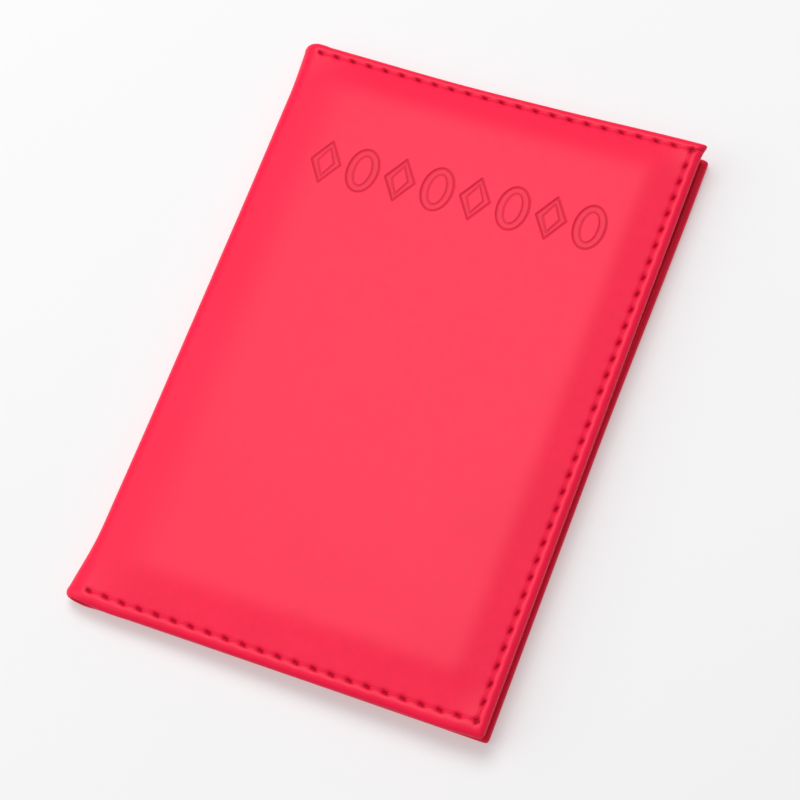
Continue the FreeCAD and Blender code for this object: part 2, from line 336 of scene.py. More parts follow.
# ---- closed bodies from sheets
class Shell:
    """Collects the points and faces of one closed piece in sheet coordinates."""

    def __init__(self):
        self.parts = []
        self.faces = []
        self.total = 0

    def points(self, along, y, depth, pressed=0.0):
        along, y, depth, pressed = np.broadcast_arrays(along, y, depth, pressed)
        self.parts.append(np.stack([along, y, depth, pressed], axis=-1))
        first = self.total
        self.total += len(along)
        return np.arange(first, self.total)

    def face(self, loop):
        tidy = [v for i, v in enumerate(loop) if v != loop[i - 1]]
        if len(set(tidy)) == len(tidy) and len(tidy) > 2:
            self.faces.append(tidy)

    def strip(self, one, other, closed=False):
        pairs = list(zip(one, other))
        if closed:
            pairs.append(pairs[0])
        for (a, b), (c, d) in zip(pairs, pairs[1:]):
            self.face([a, c, d, b])

    def sheet(self, cells, depth, pressed=0.0, turned=False):
        numbers = self.points(cells.along, cells.y, depth, pressed)
        for face in cells.faces:
            self.faces.append([numbers[v] for v in (face[::-1] if turned else face)])
        return numbers


class Outline:
    """The way round a sheet's free edges, with a fan of directions at each corner."""

    FAN = 7

    def __init__(self, cells, closed):
        self.closed = closed
        high = cells.edge("high")
        end = cells.edge("end")[::-1]
        low = cells.edge("low")[::-1]
        start = cells.edge("start")
        sides = [(high, 90), (end, 0), (low, -90)] + ([(start, -180)] if closed else [])
        self.vertices = []
        self.angles = []
        for number, (line, angle) in enumerate(sides):
            last = number == len(sides) - 1
            self.vertices += line[:-1] if closed or not last else line
            self.angles += [angle] * (len(line) - (1 if closed or not last else 0))
            if not last or closed:
                self.vertices += [line[-1]] * (self.FAN - 1)
                self.angles += [angle - 90 * k / (self.FAN - 1) for k in range(self.FAN - 1)]
        self.ends = (cells.along.min(), cells.along.max())
        self.along = cells.along[self.vertices]
        self.y = cells.y[self.vertices]
        self.top = cells.y.max()
        self.way = np.radians(self.angles)
        same = np.array(self.vertices[1:] + self.vertices[:1]) == np.array(self.vertices)
        self.fan = same | np.roll(same, 1)
        bend = np.abs(np.cos(self.way)) ** CORNER_POWER + np.abs(np.sin(self.way)) ** CORNER_POWER
        self.reach = bend ** (-1 / CORNER_POWER)

    def ring(self, out):
        """Points 'out' beyond the sheet, or pulled in evenly where out is negative."""
        out = np.broadcast_to(out, self.along.shape)
        low, high = self.ends
        fixed = (low + high) / 2 if self.closed else low
        reach = high - fixed
        inwards = np.minimum(out, 0)
        along = fixed + (self.along - fixed) * (reach + inwards) / reach
        y = self.y * (self.top + inwards) / self.top
        outwards = np.maximum(out, 0) * self.reach
        return along + outwards * np.cos(self.way), y + outwards * np.sin(self.way)


def new_object(name, data):
    made = bpy.data.objects.new(name, data)
    bpy.context.scene.collection.objects.link(made)
    return made


def build_mesh(name, shell, side, material):
    """Folds a shell to its place and makes the object, with a millimetre UV map."""
    data = np.concatenate(shell.parts)
    points = place(side, data[:, 0], data[:, 1], data[:, 2])
    mesh = bpy.data.meshes.new(name)
    mesh.from_pydata(points.tolist(), [], [list(map(int, face)) for face in shell.faces])
    # the pressed share darkens the colour: painted shade in holes, grooves and creases, with real heat
    # darkening in pressed lines
    pressed = mesh.attributes.new("pressed", "FLOAT", "POINT")
    pressed.data.foreach_set("value", data[:, 3].astype(np.float32))
    corners = np.zeros(len(mesh.loops), int)
    mesh.loops.foreach_get("vertex_index", corners)
    flat = np.stack([data[:, 0] + data[:, 2], data[:, 1] + data[:, 2]], axis=-1) / MM
    layer = mesh.uv_layers.new(name="sheet_mm")
    layer.data.foreach_set("uv", flat[corners].astype(np.float32).ravel())
    mesh.materials.append(material)
    work = bmesh.new()
    work.from_mesh(mesh)
    bmesh.ops.remove_doubles(work, verts=work.verts, dist=1e-6)
    bmesh.ops.recalc_face_normals(work, faces=work.faces)
    work.to_mesh(mesh)
    work.free()
    mesh.shade_smooth()
    mesh.set_sharp_from_angle(angle=SHARP_TURN)
    return new_object(name, mesh)


# ---- stitching
def seam_rows(start, end, level, side_row=True):
    """Rows as (first point, last point), going clockwise from the fold's top end."""
    rows = [((start, level), (end, level))]
    if side_row:
        rows.append(((end, level), (end, -level)))
    rows.append(((end, -level), (start, -level)))
    return rows


def holes_of(row):
    """Needle hole places along a row, its direction and its real pitch."""
    first, last = np.array(row[0]), np.array(row[1])
    length = float(np.linalg.norm(last - first))
    count = max(1, round(length / STITCH_PITCH))
    shares = np.linspace(0, 1, count + 1)[:, None]
    return first + (last - first) * shares, (last - first) / length, length / count


def along_row(row, along, y):
    """Way along a row, offset across it, way past its ends, way from a hole, and pitch."""
    holes, way, pitch = holes_of(row)
    offset = np.stack([along - row[0][0], y - row[0][1]], axis=-1)
    run = offset @ way
    across = offset @ np.array([way[1], -way[0]])
    length = pitch * (len(holes) - 1)
    beyond = np.clip(np.maximum(-run, run - length), 0, None)
    near = np.clip(np.round(run / pitch), 0, len(holes) - 1)
    return run, across, beyond, run - near * pitch, pitch


def seam_press(along, y, rows, kind):
    """Depth pressed in by seams, and how dark: a channel, and slanted needle holes. The dark in the
    needle holes is painted shade; along the channel it is partly painted shade, partly real pressed-in
    darkening.
    """
    groove, hole = GROOVE_DEPTH[kind], HOLE_DEPTH[kind]
    depth = np.zeros(along.shape)
    pit = np.zeros(along.shape)
    shade_and_heat_marks = np.zeros(along.shape)
    for row in rows:
        run, across, beyond, from_hole, pitch = along_row(row, along, y)
        turned = from_hole * math.cos(HOLE_SLANT) + across * math.sin(HOLE_SLANT)
        aside = across * math.cos(HOLE_SLANT) - from_hole * math.sin(HOLE_SLANT)
        channel = np.exp(-((across / CHANNEL) ** 2) - (beyond / (0.5 * MM)) ** 2)
        here = np.exp(-((turned / HOLE_SIZE[0]) ** 4) - (aside / HOLE_SIZE[1]) ** 2)
        puff = 0.35 * np.cos(2 * math.pi * run / pitch) * np.exp(-((across / (1.1 * MM)) ** 2))
        channel = channel * (0.8 + 0.2 * np.cos(2 * math.pi * run / pitch))
        depth = np.maximum(depth, groove * channel + groove * puff * (beyond <= 0) * 0.5)
        pit = np.maximum(pit, here)
        # darkness share: painted shade in the needle holes, painted shade with real pressed-in
        # darkening along the channel
        shade_and_heat_marks = np.maximum(shade_and_heat_marks, np.maximum(here, 0.25 * channel))
    return depth + (hole - groove) * pit, shade_and_heat_marks


def seam_reach(along, y, rows):
    """Distance to the nearest row and to the nearest needle hole."""
    row_distance = np.full(along.shape, 1.0)
    hole_distance = np.full(along.shape, 1.0)
    for row in rows:
        _, across, beyond, from_hole, _ = along_row(row, along, y)
        row_distance = np.minimum(row_distance, np.hypot(across, beyond))
        hole_distance = np.minimum(hole_distance, np.hypot(across, from_hole))
    return row_distance, hole_distance


def thread_places(side, rows, depth):
    """Middle, direction and outward way of the thread between needle holes."""
    places = []
    for row in rows:
        holes, way, _ = holes_of(row)
        outside = depth < RADIUS / 2
        for one, other in zip(holes, holes[1:]):
            one, other = one + way * HOLE_REACH, other - way * HOLE_REACH
            near = (one + other) / 2
            middle = place(side, *near, depth)
            out = place(side, *near, depth - MM if outside else depth + MM)
            run = place(side, *other, depth) - place(side, *one, depth)
            places.append((middle, run, out - middle))
    return places


# ---- the pressed band
def band_press(along, y):
    """Depth of the pressed outlines, how dark they are, and the distance to the nearest. Their
    darkness is real heat darkening together with painted shade in the pressed lines.
    """
    x = along - BAND_MIDDLE[0]
    v = y - BAND_MIDDLE[1]
    across = x * math.cos(BAND_TURN) + v * math.sin(BAND_TURN)
    up = v * math.cos(BAND_TURN) - x * math.sin(BAND_TURN)
    step = (BAND_LENGTH + SHAPE_GAP) / BAND_SHAPES
    index = np.clip(np.floor(across / step + BAND_SHAPES / 2), 0, BAND_SHAPES - 1)
    across = across - (index - (BAND_SHAPES - 1) / 2) * step
    half_long, half_high = (step - SHAPE_GAP) / 2, BAND_HEIGHT / 2
    edges = []
    for inset in (0.0, OUTLINE_STEP):
        a, b = half_long - inset, half_high - inset
        lozenge = (np.abs(across) / a + np.abs(up) / b - 1) / math.hypot(1 / a, 1 / b)
        f = np.hypot(across / a, up / b) + 1e-9
        slope = np.hypot(across / a**2, up / b**2) / f + 1e-9
        edges.append(np.where(index % 2 == 0, lozenge, (f - 1) / slope))
    lines = sum(np.exp(-((edge + 0.15 * MM) / LINE_WIDTH) ** 2) for edge in edges)
    between = soft_step(0.5 - edges[0] / (0.4 * MM)) * soft_step(0.5 + edges[1] / (0.4 * MM))
    nearest = np.minimum(np.abs(edges[0]), np.abs(edges[1]))
    depth = LINE_DEPTH * np.clip(lines, 0, 1) + BETWEEN_DEPTH * between
    return depth, 0.55 * np.clip(lines, 0, 1) + 0.12 * between, nearest


# ---- padding
def settled_padding(length):
    """Simulates the skin over its padding: a sheet sewn down at its edges and pushed up.

    It is simulated ten times its size, where cloth settles well. Returns the height of
    the sheet as shares of its highest point, on an even grid.
    """
    scale = 10.0
    counts = (32, 46)
    size = ((length - 2 * MM) * scale, (2 * HALF_HEIGHT - 2 * STITCH_INSET) * scale)
    mesh = bpy.data.meshes.new("padding_form")
    work = bmesh.new()
    bmesh.ops.create_grid(work, x_segments=counts[0], y_segments=counts[1], size=0.5)
    for vertex in work.verts:
        vertex.co = Vector((vertex.co.x * size[0], vertex.co.y * size[1], 0))
    work.to_mesh(mesh)
    work.free()
    form = new_object("padding_form", mesh)
    points = np.array([v.co for v in mesh.vertices])
    rim = np.abs(points[:, 0]) > size[0] / 2 - 1e-4
    rim |= np.abs(points[:, 1]) > size[1] / 2 - 1e-4
    sewn = form.vertex_groups.new(name="sewn")
    sewn.add([int(v) for v in np.nonzero(rim)[0]], 1.0, "REPLACE")
    cloth = form.modifiers.new("padding", "CLOTH")
    cloth.settings.vertex_group_mass = "sewn"
    cloth.settings.quality = 6
    cloth.settings.mass = 0.4
    cloth.settings.bending_stiffness = 8.0
    cloth.settings.tension_stiffness = 25.0
    cloth.settings.compression_stiffness = 25.0
    cloth.settings.use_pressure = True
    cloth.settings.uniform_pressure_force = 3.0
    cloth.settings.effector_weights.gravity = 0.0
    scene = bpy.context.scene
    for step in range(1, 21):
        scene.frame_set(step)
    evaluated = form.evaluated_get(bpy.context.evaluated_depsgraph_get())
    height = np.abs(np.array([v.co.z for v in evaluated.data.vertices]))
    scene.frame_set(1)
    order = np.lexsort((points[:, 1], points[:, 0]))
    bpy.data.objects.remove(form)
    grid = height[order].reshape(counts[0] + 1, counts[1] + 1)
    return grid / max(grid.max(), 1e-9)


def looked_up(grid, along_share, y_share):
    """Smooth value of an even grid at shares from 0 to 1."""
    a = np.clip(along_share, 0, 1) * (grid.shape[0] - 1)
    b = np.clip(y_share, 0, 1) * (grid.shape[1] - 1)
    i = np.minimum(a.astype(int), grid.shape[0] - 2)
    j = np.minimum(b.astype(int), grid.shape[1] - 2)
    u, v = soft_step(a - i), soft_step(b - j)
    low = grid[i, j] * (1 - v) + grid[i, j + 1] * v
    high = grid[i + 1, j] * (1 - v) + grid[i + 1, j + 1] * v
    return low * (1 - u) + high * u


PADDING = {side: settled_padding(LENGTH[side]) for side in LENGTH}


def swell(inside, even, rounding):
    """0 at a seam to 1: an even slope of length 'even', then a bend of length 'rounding'."""
    bend = np.clip((inside - even) / rounding, 0, 1)
    height = np.clip(inside, 0, even) + rounding * (bend - bend**3 + bend**4 / 2)
    return height / (even + rounding / 2)


def padding_rise(side, along, y):
    """0 at the seams and round the fold, 1 where the padding is at its full thickness."""
    level = HALF_HEIGHT - STITCH_INSET
    rise = swell(level - y, *SLOPES["top"]) * swell(level + y, *SLOPES["bottom"])
    rise = rise * swell(LENGTH[side] - STITCH_INSET - along, *SLOPES["opening"])
    rise = rise * swell(along + 0.5 * MM, *SLOPES["fold"])
    grid = PADDING[side]
    if grid is not None:
        share = looked_up(grid, along / LENGTH[side], (y + HALF_HEIGHT) / (2 * HALF_HEIGHT))
        rise = rise * (1 - SIMULATED + SIMULATED * share)
    return rise


def lift(side, along, y):
    """How far the skin stands out from the plain face; the back cover lies on its middle."""
    rise = padding_rise(side, along, y)
    if side == "back":
        return -BACK_SINK * (1 - rise) * soft_step(along / (6 * MM))
    wave = 0.05 * np.sin(along / (17 * MM) + 1.3) * np.sin(y / (23 * MM) + 0.4)
    wave += 0.03 * np.sin((along + y) / (11 * MM)) * np.cos((along - 0.6 * y) / (14 * MM))
    return CROWN * rise * (1 + wave)


# ---- colours and materials
CLOUD_MM = 24.0          # slow drift of the leather's tone
MOTTLE_MM = 2.6          # patches of its coating
PORE_MM = 0.55
FINE_MM = 0.2
WEAVE_MM = 0.4
SLUB_MM = 1.5            # thick places in the lining's yarn
FOAM_CELL = 0.6 * MM
DRAWN_LINE = 0.5 * MM    # lines that extruding leaves on the board


def linear(code):
    """An sRGB hex colour as linear RGBA."""
    values = [int(code[i:i + 2], 16) / 255 for i in (1, 3, 5)]
    return [v / 12.92 if v <= 0.04045 else ((v + 0.055) / 1.055) ** 2.4 for v in values] + [1.0]


def add(tree, kind, inputs=None, **settings):
    """Adds a node, sets its options, and fills or links its inputs.

    A node given for an input stands for its first output.
    """
    node = tree.nodes.new(kind)
    for key, value in settings.items():
        setattr(node, key, value)
    for key, value in (inputs or {}).items():
        socket = node.inputs[key]
        value = value.outputs[0] if isinstance(value, bpy.types.Node) else value
        if isinstance(value, bpy.types.NodeSocket):
            tree.links.new(value, socket)
        else:
            socket.default_value = value
    return node


def new_material(name):
    material = bpy.data.materials.new(name)
    material.use_nodes = True
    material.node_tree.nodes.clear()
    return material, material.node_tree


def coated_leather(name, light, deep, pressed, roughness):
    """Polyurethane-coated leather, calendered nearly smooth and matt.

    The even coating gives a clean saturated colour with a broad soft shine. Heat darkens
    it in pressed lines; the darker colour in needle holes, grooves and creases is painted
    shade. A shallow pore pattern breaks up the shine.
    """
    material, tree = new_material(name)
    sheet = add(tree, "ShaderNodeUVMap", uv_map="sheet_mm")
    cloud, mottle, fine = (
        add(tree, "ShaderNodeTexNoise", {"Vector": sheet, "Scale": 1 / size, "Detail": detail})
        for size, detail in ((CLOUD_MM, 2.0), (MOTTLE_MM, 4.0), (FINE_MM, 3.0))
    )
    tone = add(tree, "ShaderNodeMath", {0: cloud, 1: mottle}, operation="MULTIPLY")
    share = add(tree, "ShaderNodeMapRange", {0: tone, 1: 0.12, 2: 0.42})
    plain = add(
        tree, "ShaderNodeMix", {0: share, 6: linear(deep), 7: linear(light)}, data_type="RGBA"
    )
    # mix towards the pressed colour: painted shade in needle holes, grooves and creases, real heat
    # darkening in pressed lines
    shade_and_heat_marks = add(tree, "ShaderNodeAttribute", attribute_name="pressed")
    colour = add(
        tree, "ShaderNodeMix",
        {0: shade_and_heat_marks.outputs["Fac"], 6: plain.outputs[2], 7: linear(pressed)}, data_type="RGBA",
    )
    pores = add(
        tree, "ShaderNodeTexVoronoi",
        {"Vector": sheet, "Scale": 1 / PORE_MM, "Randomness": 1.0}, feature="DISTANCE_TO_EDGE",
    )
    crease = add(tree, "ShaderNodeMapRange", {0: pores, 1: 0.0, 2: 0.12})
    grain = add(tree, "ShaderNodeMath", {0: crease, 1: fine, 2: 0.5}, operation="MULTIPLY_ADD")
    bump = add(tree, "ShaderNodeBump", {"Strength": 0.1, "Distance": 0.05 * MM, "Height": grain})
    gloss = add(
        tree, "ShaderNodeMapRange",
        {0: mottle, 1: 0.3, 2: 0.7, 3: roughness - 0.01, 4: roughness + 0.015},
    )
    shader = add(
        tree, "ShaderNodeBsdfPrincipled",
        {"Base Color": colour.outputs[2], "Normal": bump, "Roughness": gloss, "IOR": 1.31},
    )
    add(tree, "ShaderNodeOutputMaterial", {0: shader})
    return material


def two_tone(material, tree, share, dark, pale, relief, look):
    """Ends a material whose colour runs from dark to pale with a pattern, over a relief."""
    colour = add(
        tree, "ShaderNodeMix", {0: share, 6: linear(dark), 7: linear(pale)}, data_type="RGBA"
    )
    bump = add(tree, "ShaderNodeBump", relief)
    look = {**look, "Base Color": colour.outputs[2], "Normal": bump}
    shader = add(tree, "ShaderNodeBsdfPrincipled", look)
    add(tree, "ShaderNodeOutputMaterial", {0: shader})
    return material


def sewing_thread():
    """Twisted polyester thread: the plies give fine slanting ridges and a dull shine."""
    material, tree = new_material("sewing_thread")
    along = add(tree, "ShaderNodeAttribute", attribute_name="thread_along").outputs["Fac"]
    around = add(tree, "ShaderNodeAttribute", attribute_name="thread_around").outputs["Fac"]
    turns = add(
        tree, "ShaderNodeMath", {0: along, 1: STITCH_PITCH / THREAD_TWIST, 2: around},
        operation="MULTIPLY_ADD",
    )
    angle = add(tree, "ShaderNodeMath", {0: turns, 1: 4 * math.pi}, operation="MULTIPLY")
    wave = add(tree, "ShaderNodeMath", {0: angle}, operation="SINE")
    share = add(tree, "ShaderNodeMapRange", {0: wave, 1: -1.0, 2: 1.0})
    relief = {"Strength": 0.3, "Distance": 0.03 * MM, "Height": share}
    look = {"Roughness": 0.7, "IOR": 1.3}
    # the colour is darker in the grooves between the plies: painted shade
    return two_tone(material, tree, share, "#DC0C38", "#FA1646", relief, look)


def woven_lining():
    """Plain-woven taffeta: crossing threads, drawn at 0.4 mm so that they show."""
    material, tree = new_material("woven_lining")
    sheet = add(tree, "ShaderNodeUVMap", uv_map="sheet_mm")
    spread = add(tree, "ShaderNodeSeparateXYZ", {"Vector": sheet})
    ridges = []
    for axis in spread.outputs[:2]:
        phase = add(tree, "ShaderNodeMath", {0: axis, 1: 2 * math.pi / WEAVE_MM}, operation="MULTIPLY")
        ridges.append(add(tree, "ShaderNodeMath", {0: phase}, operation="SINE"))
    crossing = add(tree, "ShaderNodeMath", {0: ridges[0], 1: ridges[1]}, operation="MULTIPLY")
    share = add(tree, "ShaderNodeMapRange", {0: crossing, 1: -1.0, 2: 1.0})
    slub = add(tree, "ShaderNodeTexNoise", {"Vector": sheet, "Scale": 1 / SLUB_MM, "Detail": 3.0})
    uneven = add(tree, "ShaderNodeMath", {0: share, 1: slub}, operation="MULTIPLY")
    relief = {"Strength": 0.5, "Distance": 0.05 * MM, "Height": share}
    look = {"Roughness": 0.55, "Sheen Weight": 0.08}
    # the colour is darker in the weave's hollows, which is painted shade, and varies with the slubs,
    # which is real tone
    return two_tone(material, tree, uneven, "#8C0F24", "#C8203C", relief, look)


def open_cell_foam():
    """Thin open-cell padding: pale, dull, with fine pits."""
    material, tree = new_material("open_cell_foam")
    spot = add(tree, "ShaderNodeTexCoord").outputs["Object"]
    cells = add(tree, "ShaderNodeTexVoronoi", {"Vector": spot, "Scale": 1 / FOAM_CELL})
    share = add(tree, "ShaderNodeMapRange", {0: cells, 1: 0.0, 2: 0.7})
    relief = {"Strength": 0.5, "Distance": 0.1 * MM, "Height": share}
    # the colour is darker in the pits: painted shade
    return two_tone(material, tree, share, "#CFC9B8", "#EFEBDF", relief, {"Roughness": 0.95})


def stiffener_sheet():
    """Extruded polypropylene sheet: dark grey, with faint lines along its length."""
    material, tree = new_material("stiffener_sheet")
    spot = add(tree, "ShaderNodeTexCoord").outputs["Object"]
    long_way = add(tree, "ShaderNodeMapping", {"Vector": spot, "Scale": (1.0, 0.04, 1.0)})
    lines = add(
        tree, "ShaderNodeTexNoise", {"Vector": long_way, "Scale": 1 / DRAWN_LINE, "Detail": 3.0}
    )
    share = add(tree, "ShaderNodeMapRange", {0: lines, 1: 0.3, 2: 0.7})
    relief = {"Strength": 0.2, "Distance": 0.03 * MM, "Height": share}
    gloss = add(tree, "ShaderNodeMapRange", {0: share, 3: 0.42, 4: 0.55})
    return two_tone(material, tree, share, "#2C2C2F", "#3A3A3E", relief, {"Roughness": gloss})


# The third colour darkens pressed places: painted shade in needle holes, grooves and creases, and real
# heat darkening in the pressed outlines.
OUTER_SKIN = coated_leather("outer_coated_leather", "#F91544", "#F11140", "#94001A", 0.43)
INNER_SKIN = coated_leather("inner_coated_leather", "#F0163F", "#DE1038", "#8C0018", 0.52)
THREAD = sewing_thread()
WEAVE = woven_lining()
FOAM = open_cell_foam()
BOARD = stiffener_sheet()


# ---- outer leather
# The underside of the turned-in edge: (mm inside the edge, mm pressed in).
HEM_PROFILE = (
    (1.5, 0.0), (1.9, 0.02), (2.2, 0.12), (2.45, 0.15), (2.7, 0.1),
    (3.1, 0.02), (4.5, 0.0), (6.5, 0.0), (8.5, 0.0), (8.85, 0.03),
)


def cover_rows(side):
    end = LENGTH[side] - STITCH_INSET
    return seam_rows(OUTER_ROW_START, end, HALF_HEIGHT - STITCH_INSET)


def edge_puff(side, along, y):
    """The turned edge swells between the seam and the rim."""
    inset = np.minimum(HALF_HEIGHT - np.abs(y), LENGTH[side] - along)
    return PUFF * np.exp(-(((inset - EDGE_BAND) / (0.5 * MM)) ** 2))


def corner_fold(along, y):
    """The mitred fold of the front cover's top corner, running on from the top row."""
    begin = np.array([LENGTH["front"] - STITCH_INSET, HALF_HEIGHT - STITCH_INSET])
    span = np.array([STITCH_INSET + 0.2 * MM, 0.7 * MM])
    offset = np.stack([along, y], axis=-1) - begin
    share = np.clip(offset @ span / (span @ span), 0, 1)
    away = np.linalg.norm(offset - share[..., None] * span, axis=-1)
    return np.exp(-((away / (0.25 * MM)) ** 2))


def pressed_in(side, along, y):
    """Depth of everything pressed into a cover's face, and how dark it is there: painted shade in the
    needle holes, grooves and the corner's fold crease, with real heat darkening in the pressed
    outlines.
    """
    depth, shade_and_heat_marks = seam_press(along, y, cover_rows(side), "cover")
    if side == "front":
        band, dark, nearest = band_press(along, y)
        fold = corner_fold(along, y)
        depth = depth + band + 0.3 * MM * fold
        # the fold's dark line is painted shade in its crease
        shade_and_heat_marks = np.maximum(shade_and_heat_marks, np.maximum(dark, 0.8 * fold))
    return np.minimum(depth, DEEPEST), shade_and_heat_marks


def skin_detail(side):
    rows = cover_rows(side)

    def wanted(along, y):
        row, hole = seam_reach(along, y, rows)
        inset = np.minimum(HALF_HEIGHT - np.abs(y), LENGTH[side] - along)
        level = np.full(along.shape, 1)
        level[inset < 16 * MM] = 2
        level[inset < 5 * MM] = 3
        level[along < 0.6 * MM] = 3
        level[row < 0.55 * MM] = 4
        level[(hole < 0.95 * MM) & (row < 0.45 * MM)] = 5
        if side == "front":
            level[corner_fold(along, y) > 0.01] = 5
            depth, dark, nearest = band_press(along, y)
            inside = (np.abs(y - BAND_MIDDLE[1]) < BAND_HEIGHT / 2 + 2 * MM) & (
                np.abs(along - BAND_MIDDLE[0]) < BAND_LENGTH / 2 + 1 * MM
            )
            level[inside & (nearest < 0.45 * MM)] = 5
        return level

    return wanted


def outer_skin(side):
    """The leather of a cover and half the spine, with its turned-in edge, as one body."""
    length = LENGTH[side]
    cells = CellSheet(
        (-QUARTER, length - EDGE_BAND),
        (EDGE_BAND - HALF_HEIGHT, HALF_HEIGHT - EDGE_BAND),
        5,
        skin_detail(side),
    )
    inner = cells.plain_twin()
    shell = Shell()
    # the darkness share is painted shade in holes, grooves and creases, with real heat darkening in
    # pressed lines
    press, shade_and_heat_marks = pressed_in(side, cells.along, cells.y)
    lifted = lift(side, cells.along, cells.y) + edge_puff(side, cells.along, cells.y)
    top = shell.sheet(cells, press - lifted, shade_and_heat_marks)
    back = shell.sheet(inner, SKIN - lift(side, inner.along, inner.y), turned=True)

    around = Outline(cells, closed=False)
    face = -lift(side, around.along, around.y)
    under = hem_depth(around.along)
    lined = lining_depth(around.along)
    half = (under - face) / 2
    puff = edge_puff(side, np.full(1, length - EDGE_BAND), np.zeros(1))[0]
    loops = []
    for k in range(13):
        turn = math.pi * k / 12
        wide = EDGE_BAND if turn < math.pi / 2 else half
        crest = puff * max(0.0, math.cos(turn)) ** 2
        loops.append((wide * (1 - math.sin(turn)), face + half * (1 - math.cos(turn)) - crest))
    for inset, pressed in HEM_PROFILE:
        loops.append((inset * MM, under - pressed * MM))
    loops += [
        (HEM_WIDTH, under - 0.12 * MM),
        (HEM_WIDTH, lined + 0.03 * MM),
        (HEM_WIDTH - 0.1 * MM, lined + 0.01 * MM),
        (SKIN + 0.1 * MM, lined + 0.01 * MM),
        (SKIN, lined - 0.1 * MM),
        (SKIN, face + SKIN + 0.15 * MM),
        (SKIN + 0.15 * MM, face + SKIN),
    ]
    rings = [top[around.vertices]]
    for number, (inset, depth) in enumerate(loops):
        along, y = around.ring(EDGE_BAND - inset)
        press, shade_and_heat_marks = pressed_in(side, along, y)
        outside = max(0.0, 1 - number / 8)
        fold_line = around.fan & (inset > EDGE_BAND) & (depth > lined + 0.2 * MM)
        depth = depth + press * outside - np.where(fold_line, 0.12 * MM, 0.0)
        rings.append(shell.points(along, y, depth, shade_and_heat_marks * outside))
    rings.append(back[Outline(inner, closed=False).vertices])
    for one, other in zip(rings, rings[1:]):
        shell.strip(one, other)
    shell.strip(top[cells.edge("start")], back[inner.edge("start")])
    shell.face([ring[0] for ring in rings])
    shell.face([ring[-1] for ring in rings][::-1])
    return build_mesh(side + "_outer_leather_skin", shell, side, OUTER_SKIN)


# ---- flat sewn pieces
def sewn_panel(node, side, rows):
    """A thin panel with rounded edges, pressed by its seams on the side that faces in."""
    along_range, y_range, depth_range = sheet_box(node, side)
    half = (depth_range[1] - depth_range[0]) / 2

    def wanted(along, y):
        row, hole = seam_reach(along, y, rows)
        level = np.full(along.shape, 1)
        level[row < 1.2 * MM] = 3
        level[row < 0.5 * MM] = 4
        level[(hole < 0.9 * MM) & (row < 0.35 * MM)] = 5
        return level

    spans = [(low + PANEL_BAND, high - PANEL_BAND) for low, high in (along_range, y_range)]
    cells = CellSheet(*spans, 5, wanted)
    inner = cells.plain_twin()
    press, shade_and_heat_marks = seam_press(cells.along, cells.y, rows, "panel")
    shell = Shell()
    # the seam marks darken the panel with painted shade in its needle holes and grooves
    top = shell.sheet(cells, depth_range[1] - press, 0.8 * shade_and_heat_marks, turned=True)
    bottom = shell.sheet(inner, depth_range[0])
    around = Outline(cells, closed=True)
    rings = [top[around.vertices]]
    for turn in np.linspace(0, math.pi, 7):
        along, y = around.ring(PANEL_BAND - half * (1 - math.sin(turn)))
        rings.append(shell.points(along, y, depth_range[1] - half * (1 - math.cos(turn))))
    rings.append(bottom[Outline(inner, closed=True).vertices])
    for one, other in zip(rings, rings[1:]):
        shell.strip(one, other, closed=True)
    return build_mesh(node + "_panel", shell, side, INNER_SKIN)


# ---- lining, foam
def slab(along, y, top, bottom):
    """A closed body between two even grids of points."""
    shell = Shell()
    sheets = [
        shell.points(along.ravel(), y.ravel(), np.broadcast_to(depth, along.shape).ravel())
        for depth in (top, bottom)
    ]
    upper, lower = (sheet.reshape(along.shape) for sheet in sheets)
    for sheet in (upper, lower):
        for one, other in zip(sheet, sheet[1:]):
            shell.strip(one, other)
    for side in (np.s_[0], np.s_[-1], np.s_[:, 0], np.s_[:, -1]):
        shell.strip(upper[side], lower[side])
    return shell


def lining_cloth(side):
    """The lining of a cover and half the spine: a thin slack sheet."""
    reach = SKIN + 0.3 * MM
    length = LENGTH[side] - reach
    half_width = HALF_HEIGHT - reach
    alongs = np.concatenate([
        np.linspace(-QUARTER, 0, 13)[:-1], np.linspace(0, RAMP[1], 9)[:-1],
        np.linspace(RAMP[1], length, 60),
    ])
    ys = np.linspace(-half_width, half_width, 91)
    along, y = np.meshgrid(alongs, ys, indexing="ij")
    slack = 0.04 * MM * np.sin(along / (6 * MM) + np.sin(y / (15 * MM)) * 2) * ramp(along)
    inside = np.minimum(half_width - np.abs(y), length - along) > HEM_WIDTH
    slack = np.where(inside, slack, 0)
    top = lining_depth(along) + slack
    shell = slab(along, y, top, top - LINING * 0.9)
    return build_mesh(side + "_lining_cloth", shell, side, WEAVE)


def foam_padding(side):
    """The pad between leather and board, crowned as the skin over it."""
    along_range, y_range, depth_range = sheet_box(side + "_foam_pad", side)
    alongs = np.linspace(*along_range, 46)
    ys = np.linspace(*y_range, 68)
    along, y = np.meshgrid(alongs, ys, indexing="ij")
    outer = depth_range[0] - lift(side, along, y) + 0.02 * MM
    shell = slab(along, y, outer, depth_range[1] - 0.01 * MM)
    return build_mesh(side + "_padding", shell, side, FOAM)


